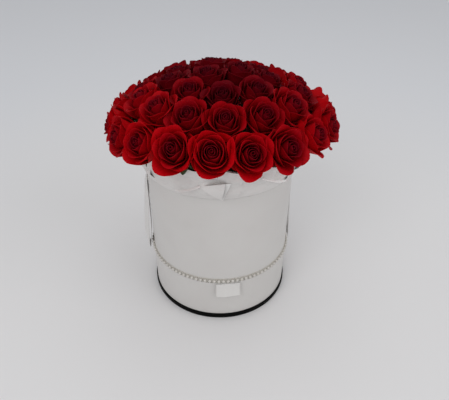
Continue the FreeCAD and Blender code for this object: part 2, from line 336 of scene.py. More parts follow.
white_cover, place = new_finish("white_cover_finish")
level = coordinate(place, "Z")
mottle = noise(place, 18.0, 4.0)
pulp = noise(place, 1400.0, 2.0)
rim_edge = eased(level, rim_height - rub_width, rim_height)
foot_edge = 1 - eased(level, front_low.z, front_low.z + rub_width)
front_edge = eased(level, front_high.z - rub_width, front_high.z)
front_edge = front_edge * (1 - eased(level, front_high.z, seam_height))
rubbed = (rim_edge + foot_edge + front_edge) * eased(noise(place, 120.0, 5.0), 0.42, 0.7)
smudge = eased(noise(place, 9.0, 5.0), 0.56, 0.78)
paper_colour = layered(
    (mottle, (201, 197, 194), (208, 206, 203)),
    (smudge, 0.35, (189, 184, 180)),
    (rubbed, 0.25, (176, 169, 160)),
)
paper_roughness = 0.34 + 0.12 * mottle + 0.15 * rubbed
close_finish(white_cover, paper_colour, paper_roughness, 0.35 * pulp + mottle, 0.25 * MM,
             {"Specular IOR Level": 0.4})
wear(white_cover, "cover_paper", "drawer_front_paper")

# %% Black paper of the base
base_low, base_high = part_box("base_wrap")
edge_width = 1.2 * MM

black_paper, place = new_finish("black_paper_finish")
level = coordinate(place, "Z")
grain = noise(place, 900.0, 3.0)
top_edge = eased(level, base_high.z - edge_width, base_high.z)
foot_edge = 1 - eased(level, base_low.z, base_low.z + edge_width)
chafed = (top_edge + foot_edge) * eased(noise(place, 160.0, 6.0), 0.55, 0.75)
black_colour = layered((grain, (1, 1, 1), (5, 5, 5)), (chafed, 0.3, (40, 38, 36)))
close_finish(black_paper, black_colour, 0.5 + 0.2 * grain + 0.2 * chafed, grain, 0.15 * MM,
             {"Specular IOR Level": 0.06})
wear(black_paper, "base_wrap")

# %% Grey board, which shows at cut edges
board_layer = 0.6 * MM

grey_board, place = new_finish("grey_board_finish")
flecks = eased(noise(place, 1100.0, 3.0), 0.58, 0.7)
layers = 0.5 + 0.5 * waves(coordinate(place, "Z"), board_layer)
board_colour = layered(
    (noise(place, 60.0, 5.0), (158, 152, 141), (178, 172, 160)),
    (flecks, 0.6, (112, 105, 95)),
)
board_height = 0.4 * layers + noise(place, 700.0, 4.0)
close_finish(grey_board, board_colour, 0.85 - 0.1 * flecks, board_height, 0.2 * MM)
wear(grey_board, "base_board", "box_tube", "drawer_front")

# %% Lining paper and lined board
lining_finishes = {
    "lining_paper": ((226, 223, 217), (234, 232, 228), ("lining_paper", "drawer_lining")),
    "lining_board": ((214, 211, 205), (224, 221, 216),
                     ("divider_disc", "divider_cleat", "drawer_floor", "drawer_wall")),
}
for lining_name, (dull, clean, lined) in lining_finishes.items():
    lining, place = new_finish(lining_name + "_finish")
    fibres = streaks(place, (500.0, 500.0, 90.0), 4.0)
    lining_colour = mixed(noise(place, 25.0, 4.0), dull, clean)
    close_finish(lining, lining_colour, 0.62 + 0.2 * fibres, fibres, 0.12 * MM)
    wear(lining, *lined)

# %% [markdown]
# ## Trim
# Round the seam runs a narrow gilt tape with a row of pearls. The tape's weave follows the wall, so
# its pattern needs a coordinate that goes round the axis: the angle, divided into whole threads, next
# to the height. The pearls are lacquered beads, so a clear coat over a milky ground does most of it.

# %% Gilt tape
weave_pitch = 1.3 * MM
threads_round = round(2 * math.pi * wall_radius / weave_pitch)

gilt_tape, place = new_finish("gilt_tape_finish")
east = coordinate(place, "X")
angle = east.maths("ARCTAN2", east.output("Y"), east)
warp = waves(angle, 2 * math.pi / threads_round)
weft = waves(east.output("Z"), weave_pitch)
threads = 0.5 + 0.5 * warp * weft
tarnish = eased(noise(place, 90.0, 4.0), 0.4, 0.7)
gilt_colour = layered((threads, (192, 188, 179), (208, 205, 198)), (tarnish, 0.35, (178, 173, 159)))
close_finish(gilt_tape, gilt_colour, 0.45 + 0.2 * tarnish, threads, 0.25 * MM)
wear(gilt_tape, "trim_tape")

# %% Pearls
pearl, place = new_finish("pearl_finish")
lustre = noise(place, 75.0, 2.0)
yellowed = eased(noise(place, 210.0, 2.0), 0.5, 0.7)
pearl_colour = layered((lustre, (191, 187, 180), (204, 200, 194)), (yellowed, 0.3, (192, 186, 170)))
close_finish(pearl, pearl_colour, 0.2 + 0.15 * lustre, noise(place, 900.0, 2.0), 0.03 * MM,
             {"Coat Weight": 0.6, "Coat Roughness": 0.08})
wear(pearl, "trim_pearls")

# %% [markdown]
# ## Inside and small hard pieces
# The eyelets are pressed metal, the tub is thin moulded plastic, the riser is brown card and the foam
# is wet floral foam. They show when the drawer or the insert moves, so they get real finishes too.
# Each is one short network: a ground colour, its grain at true scale, and a roughness that follows.

# %% Eyelet metal
eyelet_metal, place = new_finish("eyelet_metal_finish")
brushed = streaks(place, (200.0, 200.0, 2600.0), 3.0)
dulled = eased(noise(place, 240.0, 4.0), 0.5, 0.75)
metal_colour = mixed(dulled, (214, 212, 206), (168, 164, 154))
metal_roughness = 0.2 + 0.15 * brushed + 0.2 * dulled
close_finish(eyelet_metal, metal_colour, metal_roughness, brushed, 0.04 * MM, {"Metallic": 1.0})
wear(eyelet_metal, "eyelet_left", "eyelet_right")

# %% Tub plastic
tub_plastic, place = new_finish("tub_plastic_finish")
moulded = noise(place, 650.0, 2.0)
scratches = eased(streaks(place, (60.0, 60.0, 900.0), 4.0), 0.62, 0.72)
tub_colour = mixed(noise(place, 12.0, 3.0), (212, 214, 212), (222, 224, 221))
close_finish(tub_plastic, tub_colour, 0.3 + 0.12 * moulded + 0.25 * scratches, moulded, 0.06 * MM)
wear(tub_plastic, "liner_tub")

# %% Riser card
riser_card, place = new_finish("riser_card_finish")
card_fibres = streaks(place, (900.0, 260.0, 260.0), 5.0)
card_specks = eased(noise(place, 1500.0, 2.0), 0.62, 0.72)
card_colour = layered(
    (card_fibres, (176, 148, 112), (196, 170, 134)),
    (card_specks, 0.5, (128, 100, 70)),
)
close_finish(riser_card, card_colour, 0.8 + 0.1 * card_fibres, card_fibres, 0.2 * MM)
wear(riser_card, "riser_block")

# %% Wet foam
wet_foam, place = new_finish("wet_foam_finish")
pores = place.node("ShaderNodeTexVoronoi", {}, {"Vector": place, "Scale": 1100.0})
damp = noise(place, 30.0, 4.0)
foam_colour = mixed(damp, (30, 62, 34), (58, 96, 54))
# The foam is mixed at least half toward a deep green, and wholly at the pores' middles: painted shade in the
# pores and in the dark gaps under the roses.
foam_colour = mixed(eased(pores, 0.2, 0.6) * 0.5, (22, 44, 24), foam_colour)
close_finish(wet_foam, foam_colour, 0.9 - 0.3 * damp, pores, 0.35 * MM)
wear(wet_foam, "foam_left", "foam_right")

# %% [markdown]
# ## Thin skins
# Petals, leaves, paper and ribbon are all thin sheets with two faces and an edge. Each could get a
# Solidify modifier, but then both faces are alike, and a petal is velvet inside and plain outside.
# So one function lays a closed skin round a grid of points, and marks every point's place on it:
# how far across, how far along, and which of the two faces. It also lays out the skin's bake map.

# %% Cells between rings of points
Skin = namedtuple("Skin", "points faces chart marks")
UP_FIRST = ((0, 0), (1, 0), (1, 1), (0, 1))
ROUND_FIRST = ((0, 0), (0, 1), (1, 1), (1, 0))


def ring_cells(rows, size, corners):
    """Cells between closed rings of points: the numbers of their corners, and these on a unit chart."""
    up, on = np.array(corners).T
    row = np.arange(rows)[:, None, None] + up
    step = np.arange(size)[:, None] + on
    faces = (row * size + step % size).reshape(-1, 4)
    chart = np.stack(np.broadcast_arrays(step / size, row / rows), axis=-1)
    return faces, chart.reshape(-1, 2)


def smooth(value, low, high):
    """The smooth step of the shader helper above, for arrays of numbers."""
    share = np.clip((value - low) / (high - low), 0, 1)
    return share * share * (3 - 2 * share)


print("the first cell of rings of 8 has corners", ring_cells(2, 8, UP_FIRST)[0][0])

# %% A closed skin round a grid of points
side_share = 0.94
tiny = 1e-12


def skin(grid, thickness):
    """Rows of points to a closed skin. The outer face is where columns turn to rows by the left hand."""
    rows, columns = grid.shape[0] - 1, grid.shape[1] - 1
    normal = np.cross(np.gradient(grid, axis=1), np.gradient(grid, axis=0))
    normal /= np.linalg.norm(normal, axis=2, keepdims=True) + tiny
    half = normal * thickness / 2
    points = np.concatenate([grid - half, (grid + half)[:, ::-1]], axis=1)
    size = points.shape[1]

    sides, side_chart = ring_cells(rows, size, UP_FIRST)
    column = np.arange(columns)
    foot = np.stack([column, column + 1, size - 2 - column, size - 1 - column], axis=-1)
    lid = rows * size + foot[:, ::-1]
    charts = [side_chart * (1, side_share)]
    for shift in (0, 0.5):
        u = shift + (column[:, None] + (0, 1, 1, 0)) / size
        v = np.broadcast_to((1, 1, side_share, side_share), u.shape)
        charts.append(np.stack([u, v], axis=-1).reshape(-1, 2))

    across = np.linspace(-1, 1, columns + 1)
    marks = np.zeros((rows + 1, size, 3))
    marks[:, :, 0] = np.concatenate([across, across[::-1]])
    marks[:, :, 1] = np.linspace(0, 1, rows + 1)[:, None]
    marks[:, columns + 1:, 2] = 1.0
    faces = np.concatenate([sides, lid, foot]).tolist()
    return Skin(points.reshape(-1, 3), faces, np.concatenate(charts), marks.reshape(-1, 3))


trial_skin = skin(np.random.default_rng(1).random((3, 4, 3)), 0.1)
print("a skin of 2 by 3 cells has", len(trial_skin.faces), "faces")

# %% Skins to one mesh
crease_angle = math.radians(42)
chart_margin = 0.03


def chart_cells(count):
    """Cells of a square bake map that hold count charts, as their corners and the side of one."""
    side = math.ceil(math.sqrt(count))
    return [(k % side / side, k // side / side) for k in range(count)], 1 / side


def store(mesh, name, kind, values):
    """Keeps a value of each point of a mesh under a name."""
    field = "vector" if kind == "FLOAT_VECTOR" else "value"
    mesh.attributes.new(name, kind, "POINT").data.foreach_set(field, np.ravel(values))


def skins_mesh(name, skins, orders=None):
    """Joins skins, each with a cell of the bake map, and keeps their marks as attributes."""
    orders = orders or [0.0] * len(skins)
    cells, cell = chart_cells(len(skins))
    counts = [len(one.points) for one in skins]
    starts = np.cumsum([0] + counts).tolist()
    faces = [[start + corner for corner in face] for one, start in zip(skins, starts) for face in one.faces]
    mesh = bpy.data.meshes.new(name)
    mesh.from_pydata(np.concatenate([one.points for one in skins]).tolist(), [], faces)
    inner_share = 1 - 2 * chart_margin
    charts = [(one.chart * inner_share + chart_margin) * cell + corner for one, corner in zip(skins, cells)]
    mesh.uv_layers.new(name="OFBake").data.foreach_set("uv", np.concatenate(charts).ravel())
    marks = np.concatenate([one.marks for one in skins])
    numbers = np.repeat(np.arange(len(skins)), counts)
    store(mesh, "place_on_skin", "FLOAT_VECTOR", np.column_stack([marks[:, :2], numbers]))
    store(mesh, "outer_face", "FLOAT", marks[:, 2])
    store(mesh, "order", "FLOAT", np.repeat(orders, counts))
    mesh.shade_smooth()
    mesh.set_sharp_from_angle(angle=crease_angle)
    return mesh


print("bake map of 7 charts has cells of", round(chart_cells(7)[1], 3))


# %% A mesh to a piece of the model
def new_piece(mesh, material, body, slot, *stands_for):
    """Adds a finished mesh to the scene, on its body, and hides the nodes it stands for. The slot is not
    used.
    """
    piece = bpy.data.objects.new(mesh.name, mesh)
    bpy.context.scene.collection.objects.link(piece)
    mesh.materials.clear()
    mesh.materials.append(material)
    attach(piece, body)
    if stands_for:
        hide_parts(*stands_for)
    triangles = sum(len(face.vertices) - 2 for face in mesh.polygons)
    print("piece", mesh.name, triangles, "triangles on", body)
    return piece


# %% [markdown]
# ## Paper collar
# Between the rim and the roses stands a collar of white satin paper. The florist tucks several sheets
# into the box, one lapping the next, and folds them out under the flowers. Cloth simulation would make
# the paper limp, so each sheet is drawn by a rule: straight inside the rim, then leaning out, with
# folds that deepen upwards, creases from handling, and corners that peel away from the neighbour.

# %% Collar paper finish
collar_paper, place = new_finish("collar_paper_finish")
pulp = noise(place, 1200.0, 2.0)
crinkle = noise(place, 95.0, 5.0)
cloud = noise(place, 22.0, 3.0)
collar_colour = layered(
    (cloud, (206, 202, 199), (219, 215, 212)),
    (eased(crinkle, 0.55, 0.75), 0.25, (194, 188, 185)),
    # The order mark of a collar sheet is a painted highlight: turned edges, flap and facet are painted
    # towards white where they catch the light.
    (mark(place, "order"), 1.0, (252, 251, 249)),
)
close_finish(collar_paper, collar_colour, 0.36 + 0.16 * cloud, 0.2 * pulp + crinkle, 0.3 * MM,
             {"Sheen Weight": 0.15})

# %% A line that leans
fine_steps = 120
blur_steps = 5


def leaning(stations, lean, length):
    """Walks a line whose lean from the axis, in degrees, changes along it: share, reach, rise, lean."""
    share = np.linspace(0, 1, fine_steps)
    angle = np.radians(np.interp(share, stations, lean))
    padded = np.pad(angle, blur_steps // 2, mode="edge")
    angle = np.convolve(padded, np.ones(blur_steps) / blur_steps, mode="valid")
    step = length / (fine_steps - 1)
    reach = np.concatenate([[0], np.cumsum(np.sin(angle[1:]))]) * step
    rise = np.concatenate([[0], np.cumsum(np.cos(angle[1:]))]) * step
    return share, reach, rise, angle


def line_at(line, share):
    """The reach, rise and lean of such a line at any shares of its length."""
    return [np.interp(share, line[0], values) for values in line[1:]]


def skin_lines(rows, columns):
    """Where the rows of a grid lie along a skin, from 0 to 1, and its columns across, from -1 to 1."""
    return np.linspace(0, 1, rows)[:, None], np.linspace(-1, 1, columns)[None, :]


print("a line at 90 degrees reaches", round(float(leaning((0, 1), (90, 90), 1.0)[1][-1]), 3))

# %% Folds of the collar
collar_folds = 18
fold_depth = 11 * MM
fold_softness = 0.1
long_slope = 0.68
draw = np.random.default_rng(41)
fold_depths = draw.uniform(0.6, 1.5, collar_folds)


def fold_wave(angle):
    """Knife folds round the box: a long slope out and a short slope back, each of its own depth."""
    turn = angle * collar_folds / (2 * math.pi)
    phase = turn - np.floor(turn)
    rise = np.where(phase < long_slope, phase / long_slope, (1 - phase) / (1 - long_slope))
    depth = fold_depths[np.floor(turn).astype(int) % collar_folds]
    return (smooth(rise, -fold_softness, 1 + fold_softness) - 0.5) * depth


print("folds", collar_folds, "of depth", fold_depths.round(2))

# %% Places and creases of the sheets
sheet_count = 6
sheet_length = 106 * MM
tuck_radius = 120.7 * MM
first_lap = math.radians(-96)
low_side = math.radians(95)
high_cosine, low_cosine = -0.55, 0.35
crease_pitches = (27 * MM, 36 * MM, 44 * MM)
crease_seed = 300


def low_share(bearing):
    """How low the flowers sit at a bearing: 0 at the front and 1 at the back."""
    return np.interp(np.cos(bearing - low_side), (high_cosine, low_cosine), (0, 1))


def sheet_bearing(number):
    """The bearing of a sheet's middle."""
    return first_lap + 2 * math.pi * (number + 0.5) / sheet_count


def creases(number, angle, along):
    """Straight creases in several directions, which break handled paper into facets, from -1 to 1."""
    crease_draw = np.random.default_rng(crease_seed + number)
    total = 0
    for pitch in crease_pitches:
        heading = crease_draw.uniform(0, math.pi)
        walked = math.cos(heading) * tuck_radius * angle + math.sin(heading) * sheet_length * along
        line = walked / pitch + crease_draw.uniform(0, 1)
        total = total + 4 * np.abs(line - np.round(line)) - 1
    return total / len(crease_pitches)


bearings = [round(math.degrees(sheet_bearing(number))) for number in range(sheet_count)]
print("sheets face", bearings, "degrees")

# %% One collar sheet
collar_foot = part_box("paper_collar")[0].z
sheet_half_span = math.radians(42)
sheet_thickness = 0.3 * MM
sheet_rows, sheet_columns = 41, 85
crease_depth = 5 * MM
cut_shorter = 0.23
least_trim, most_trim = 0.02, 0.08
trim_wave, trim_waves = 0.04, 2.3
corner_start = 0.6
peel_drop = 0.4
# How far the left and the right corner of a sheet peel away, in millimetres.
corner_peels = {1: (3, 6), 3: (9, 7), 5: (20, 3)}
# How a sheet leans, in degrees, at distances from its tucked edge: up, over the rim, up and out.
roll_stations = np.array((0, 17.9, 20.1, 23.9, 26.2, 30.4, 55, 88, 106)) * MM / sheet_length
roll_lean = (0, 0, 85, 92, 60, 22, 20, 24, 40)


def collar_grid(number):
    """Points of one sheet: tucked in, rolled over the rim, then up and out to the free edge."""
    along, across = skin_lines(sheet_rows, sheet_columns)
    angle = sheet_bearing(number) + across * sheet_half_span
    short = draw.uniform(least_trim, most_trim)
    short = short + trim_wave * np.sin(trim_waves * across + draw.uniform(0, 6))
    short = short + cut_shorter * low_share(angle)
    share = along * (1 - short * smooth(along, 0.4, 1.0))
    reach, rise, lean = line_at(leaning(roll_stations, roll_lean, sheet_length), share)
    grown = smooth(along, 0.3, 0.9)
    layer = sheet_thickness if number in corner_peels else -sheet_thickness
    left_peel, right_peel = corner_peels.get(number, (0, 0))
    peel = left_peel * smooth(-across, corner_start, 1.0) + right_peel * smooth(across, corner_start, 1.0)
    peel = peel * MM * grown
    radius = tuck_radius + reach + layer * np.cos(lean) + fold_depth * fold_wave(angle) * grown + peel
    radius = radius + crease_depth * creases(number, angle, along) * smooth(along, 0.28, 0.42)
    return round_axis(radius, angle, collar_foot + rise - layer * np.sin(lean) - peel_drop * peel)


def around(reach, bearing, height):
    """A point at a distance from the axis, a bearing in degrees and a height, in millimetres."""
    return round_axis(reach, math.radians(bearing), height) * MM


print("sheets with peeled corners", [number + 1 for number in corner_peels])

# %% Shapes of the corner and the edges that are folded back
flap_top = (around(146.5, -108, 299), around(151.5, -93.5, 309))
flap_foot = (around(133.5, -95.5, 268),) * 2
flap_bulge = 5 * MM
flap_columns, facet_columns, patch_rows = 17, 9, 15
nearly_whole = 0.985
facet_top = (around(149, -94, 307), around(154, -90.5, 311))
facet_foot = (around(131.5, -96, 268), around(134, -94.5, 268))
right_edge = (around(150, -73, 310), around(134, -47, 275))
left_edge = (around(138, -125, 280), around(149, -107, 303))
turn_width, turn_bow, turn_drop = 5 * MM, 4 * MM, 2 * MM
turn_rows, turn_columns = 21, 6
least_turn = 0.35


def away(point):
    """The level direction from the axis to a point."""
    return np.array((point[0], point[1], 0)) / math.hypot(point[0], point[1])


def patch(top, foot, columns, reached=1.0, bulge=0.0):
    """Points from a top edge to a foot, each given by its left and right end, with a bulge outwards."""
    along = np.linspace(0, reached, patch_rows)[:, None, None]
    across = np.linspace(0, 1, columns)[None, :, None]
    left, right = (upper + (lower - upper) * along for upper, lower in zip(top, foot))
    swell = bulge * np.sin(math.pi * along) * (0.6 + 0.4 * across)
    return left + (right - left) * across + away(foot[0]) * swell


def turned_edge(left, right):
    """A narrow strip of a sheet's edge between two points, turned out and bowed."""
    along = np.linspace(0, 1, turn_rows)[:, None, None]
    across = np.linspace(0, 1, turn_columns)[None, :, None]
    bow = np.sin(math.pi * along)
    outward = turn_bow * bow + turn_width * (least_turn + (1 - least_turn) * bow) * across
    strip = left + (right - left) * along + away((left + right) / 2) * outward
    return strip - np.array((0, 0, turn_drop)) * across ** 2


flap = patch(flap_top, flap_foot, flap_columns, nearly_whole, flap_bulge)
facet = patch(facet_top, facet_foot, facet_columns)
print("flap hangs", round((flap_top[1] - flap_foot[1])[2] / MM), "mm")

# %% Collar sheets, with a corner folded down over the rim and two edges turned out
# The number beside each folded-back part is its painted highlight: how far its paper is painted towards
# white.
folded_back = {
    1: [(turned_edge(*right_edge), 1.0)],
    sheet_count - 1: [(flap[::-1], 0.1), (facet[::-1], 0.5), (turned_edge(*left_edge), 0.3)],
}
for number in range(sheet_count):
    parts = [(collar_grid(number), 0.0)] + folded_back.get(number, [])
    skins = [skin(grid, sheet_thickness) for grid, highlight_share in parts]
    mesh = skins_mesh(f"collar_sheet_{number + 1}", skins, [highlight_share for grid, highlight_share in parts])
    piece = new_piece(mesh, collar_paper, "insert", "collar_paper", "paper_collar")
    cut_length = sheet_length * (1 - cut_shorter * float(low_share(sheet_bearing(number))))

# %% [markdown]
# ## Ribbons
# The handles are loops of white satin ribbon that hang from eyelets, and the drawer's tab is a short
# folded piece of the same kind. A ribbon could be a curve with a flat bevel, but it would not turn and
# cup as satin does. Here it is a skin along a path, with the direction of its width given at each row.

# %% Satin ribbon finish
weft_pitch = 0.5 * MM

satin_ribbon, place = new_finish("satin_ribbon_finish")
from_middle = abs(coordinate(mark(place, "place_on_skin", "Vector"), "X"))
weft = 0.5 + 0.5 * waves(coordinate(place, "Z"), weft_pitch)
float_threads = streaks(place, (300.0, 300.0, 2400.0), 3.0)
selvedge = eased(from_middle, 0.9, 0.94)
satin_colour = layered(
    (float_threads, (206, 203, 200), (222, 220, 217)),
    (selvedge, 0.4, (190, 186, 182)),
)
satin_roughness = 0.26 + 0.14 * float_threads + 0.2 * selvedge
close_finish(satin_ribbon, satin_colour, satin_roughness, 0.5 * weft + 0.5 * selvedge, 0.08 * MM,
             {"Sheen Weight": 0.2})
wear(satin_ribbon, "handle_tail_left", "handle_tail_right", "tab_anchor")

# %% Shape of a handle loop
ribbon_thickness = 0.5 * MM
ribbon_cup = 0.8 * MM
pearl_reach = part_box("trim_pearls")[1].x
fullest_swing = 0.65
out_start, out_end, back_start = 0.8 * math.pi, 1.35 * math.pi, 1.75 * math.pi
loop_rows, ribbon_columns = 96, 10


def loop_grid(low, high, out, twist, slack):
    """A hanging drop of ribbon, clear of the pearls. Its outer strand turns to the front, by degrees."""
    ribbon_width = high.y - low.y
    tip_reach = min(abs(low.x), abs(high.x))
    middle_reach = pearl_reach + ribbon_thickness + slack
    turn = np.linspace(0, 2 * math.pi, loop_rows + 1)[:, None]
    drop = (1 - np.cos(turn)) / 2
    swing = slack / fullest_swing * np.sin(turn) * drop
    reach = tip_reach + (middle_reach - tip_reach) * drop - swing
    height = high.z - (high.z - low.z) * drop
    turned_out = smooth(turn, out_start, out_end) * (1 - smooth(turn, back_start, 2 * math.pi))
    facing = math.radians(twist) * turned_out
    offset = np.linspace(-0.5, 0.5, ribbon_columns + 1)[None, :] * ribbon_width
    cup = ribbon_cup * (1 - (2 * offset / ribbon_width) ** 2) * np.sin(turn / 2)
    x = out * (reach + cup) + np.sin(facing) * offset
    y = out * np.cos(facing) * offset
    return np.stack([x, y, height + 0 * offset], axis=-1)


print("pearls reach", round(pearl_reach / MM, 1), "mm from the axis")

# %% Handle loops
loop_shapes = {
    "left": {"out": -1, "twist": 22, "slack": 4.2 * MM},
    "right": {"out": 1, "twist": 15, "slack": 2.2 * MM},
}
for side, loop_shape in loop_shapes.items():
    low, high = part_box(f"handle_{side}")
    grid = loop_grid(low, high, **loop_shape)
    mesh = skins_mesh(f"ribbon_handle_{side}", [skin(grid, ribbon_thickness)])
    piece = new_piece(mesh, satin_ribbon, f"handle_{side}", "satin_ribbon", f"handle_{side}")

# %% Drawer tab
tab_low, tab_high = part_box("pull_tab")
tab_bow = 3.7 * MM
tab_gap = 0.6 * MM
tab_inset = 0.5 * MM
tab_puff = 0.5 * MM
crease_at = -6 * MM
crease_lift = 4.5 * MM
tip_lift = 0.6
tab_rows, tab_columns = 15, 25

fold_share = np.concatenate([np.linspace(0, 1, tab_rows), np.linspace(1, 0, tab_rows)])[:, None]
front_layer = np.repeat((1, -1), tab_rows)[:, None]
x = np.linspace(tab_low.x, tab_high.x, tab_columns)[None, :]
left_slope = (x - tab_low.x) / (crease_at - tab_low.x)
right_slope = (tab_high.x - x) / (tab_high.x - crease_at)
lifted = crease_lift * np.minimum(left_slope, right_slope) * fold_share
puff = tab_puff * np.sin(math.pi * fold_share) * np.cos(math.pi * x / (tab_high.x - tab_low.x))
y = tab_high.y - tab_inset - tab_bow * fold_share ** 2 - lifted - front_layer * (tab_gap / 2 + puff)
z = tab_high.z - (tab_high.z - tab_low.z) * fold_share + tip_lift * lifted
tab_grid = np.stack([x + 0 * fold_share, y, z], axis=-1)
mesh = skins_mesh("ribbon_tab", [skin(tab_grid[::-1], ribbon_thickness)])
piece = new_piece(mesh, satin_ribbon, "tab", "satin_ribbon", "pull_tab")

# %% [markdown]
# ## Turned shapes
# Hips, stems, beads and the felt pad are round. Blender has a Spin tool and a Screw modifier for that,
# but both leave poles to weld. A small function turns a profile into a closed shape with its poles
# made, and returns it as a skin, so that it joins the others and gets its bake chart too.

# %% Turn a profile
pole_share = 0.08


def lathe(radii, levels, sides):
    """A closed shape turned about the Z axis, from its lowest level to its highest."""
    rows = len(radii)
    k = np.arange(sides)
    after = (k + 1) % sides
    body = round_axis(np.array(radii)[:, None], 2 * math.pi * k / sides, np.array(levels)[:, None])
    poles = [[0, 0, levels[0]], [0, 0, levels[-1]]]
    foot, head, last = rows * sides, rows * sides + 1, (rows - 1) * sides

    quads, chart = ring_cells(rows - 1, sides, ROUND_FIRST)
    foot_faces = np.stack([0 * k + foot, after, k], axis=-1)
    head_faces = np.stack([0 * k + head, k + last, after + last], axis=-1)
    charts = [chart * (1, 1 - 2 * pole_share) + (0, pole_share)]
    for corners, pole, ring in (((0.5, 1, 0), 0, pole_share), ((0.5, 0, 1), 1, 1 - pole_share)):
        u = (k[:, None] + corners) / sides
        v = np.broadcast_to((pole, ring, ring), u.shape)
        charts.append(np.stack([u, v], axis=-1).reshape(-1, 2))

    marks = np.ones((rows * sides + 2, 3))
    marks[:-2, 0] = np.tile(2 * k / sides - 1, rows)
    marks[:-2, 1] = np.repeat(np.linspace(0, 1, rows), sides)
    marks[-2:, :2] = ((0, 0), (0, 1))
    points = np.concatenate([body.reshape(-1, 3), poles])
    faces = quads.tolist() + foot_faces.tolist() + head_faces.tolist()
    return Skin(points, faces, np.concatenate(charts), marks)


print("a lathe of 3 rings by 8 sides has", len(lathe((1, 2, 1), (0, 1, 2), 8).faces), "faces")

# %% Felt pad under the base
black_felt, place = new_finish("black_felt_finish")
hairs = streaks(place, (420.0, 900.0, 700.0), 6.0)
lint = eased(noise(place, 500.0, 3.0), 0.64, 0.74)
felt_colour = layered((hairs, (3, 3, 3), (18, 18, 18)), (lint, 0.3, (60, 58, 58)))
close_finish(black_felt, felt_colour, 0.9 + 0.08 * hairs, hairs, 0.5 * MM, {"Specular IOR Level": 0.05})

pad_low, pad_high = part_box("base_pad")
pad_sides = 144
flat_rings = (0.3, 0.7)
pad_radius = pad_high.x
pad_thickness = pad_high.z - pad_low.z
rounding = np.radians(np.linspace(-80, 80, 7))
pad_edge = 0.4 * pad_thickness
edge_rings = 1 - pad_edge / pad_radius * (1 - np.cos(rounding))
pad_rings = [*flat_rings, *edge_rings, *flat_rings[::-1]]
edge_levels = pad_low.z + pad_thickness * (1 + np.sin(rounding)) / 2
pad_levels = [pad_low.z, pad_low.z, *edge_levels, pad_high.z, pad_high.z]
mesh = skins_mesh("felt_pad", [lathe(pad_radius * np.array(pad_rings), pad_levels, pad_sides)])
piece = new_piece(mesh, black_felt, "box", "black_felt", "base_pad")

# %% [markdown]
# ## Lap of the cover paper
# The cover is one strip of paper, so somewhere its end laps its start. A box maker turns that to the
# back. It could be a line in the bump, but a real lap has an edge that catches light, so it is a skin.

# %% Paper lap at the back
lap_width = 14 * MM
lap_thickness = 0.25 * MM
lap_below_rim = 0.4 * MM
lap_rows, lap_columns = 41, 9

lap_angle = math.pi / 2 - np.linspace(-0.5, 0.5, lap_columns)[None, :] * lap_width / wall_radius
lap_level = np.linspace(cover_low.z, rim_height - lap_below_rim, lap_rows)[:, None]
lap_grid = round_axis(wall_radius + lap_thickness / 2, lap_angle, lap_level)
mesh = skins_mesh("cover_lap", [skin(lap_grid[:, ::-1], lap_thickness)])
new_piece(mesh, white_cover, "box", "white_cover")

# %% [markdown]
# ## Planting
# The roses could be placed in a loop, but planting is what Geometry Nodes do well: points carry a
# turn, a size and the number of a shape, and one tree puts the shapes there, makes them real and gives
# them their finish. The same tree plants the hips, the stems, the leaves and the small beads.

# %% The planting tree
plant_sockets = {"Points": "Geometry", "Shapes": "Collection", "Size": "Float", "Finish": "Material"}
plant_tree = bpy.data.node_groups.new("plant_on_points", "GeometryNodeTree")
plant_inputs = {}
for name, kind in plant_sockets.items():
    socket = plant_tree.interface.new_socket(name, in_out="INPUT", socket_type="NodeSocket" + kind)
    plant_inputs[name] = socket.identifier
plant_tree.interface.new_socket("Planted", in_out="OUTPUT", socket_type="NodeSocketGeometry")
given = Wire(plant_tree).node("NodeGroupInput")


def point_value(name, kind):
    """A value that the points carry."""
    return given.node("GeometryNodeInputNamedAttribute", {"data_type": kind}, {"Name": name})


shapes = given.node("GeometryNodeCollectionInfo", {}, {
    "Collection": given.output("Shapes"),
    "Separate Children": True,
    "Reset Children": True,
})
scale = given.node("ShaderNodeVectorMath", {"operation": "SCALE"}, {
    0: point_value("size", "FLOAT_VECTOR"),
    "Scale": given.output("Size"),
})
copies = given.node("GeometryNodeInstanceOnPoints", {}, {
    "Points": given,
    "Instance": shapes,
    "Pick Instance": True,
    "Instance Index": point_value("shape", "INT"),
    "Rotation": point_value("turn", "FLOAT_VECTOR"),
    "Scale": scale,
})
real = given.node("GeometryNodeRealizeInstances", {}, {"Geometry": copies})
finished = given.node("GeometryNodeSetMaterial", {}, {"Geometry": real, "Material": given.output("Finish")})
given.node("NodeGroupOutput", {}, {0: finished})
print("planting tree", len(plant_tree.nodes), "nodes")


# %% Read the numbers of a mesh
def numbers_of(items, field, width, kind=float):
    """One field of all items of a mesh, as rows of width numbers."""
    found = np.zeros(len(items) * width, kind)
    items.foreach_get(field, found)
    return found.reshape(-1, width)


def bake_cells(mesh, count):
    """Gives each planted shape a cell of its own on the bake map."""
    cells, cell = chart_cells(count)
    seat_of_point = numbers_of(mesh.attributes["seat"].data, "value", 1, np.int32)
    point_of_corner = numbers_of(mesh.loops, "vertex_index", 1, np.int32)
    chart = numbers_of(mesh.uv_layers["OFBake"].data, "uv", 2, np.float32)
    chart = chart * cell + np.array(cells)[seat_of_point[point_of_corner.ravel()].ravel()]
    mesh.uv_layers["OFBake"].data.foreach_set("uv", chart.astype(np.float32).ravel())


print("the pearls have", len(numbers_of(nodes["trim_pearls"].data.vertices, "co", 3)), "points")

# %% Plant shapes on seats
Seat = namedtuple("Seat", "place turn shape size tone")
seat_values = {"turn": "FLOAT_VECTOR", "shape": "INT", "size": "FLOAT_VECTOR", "tone": "FLOAT"}
even = (1, 1, 1)


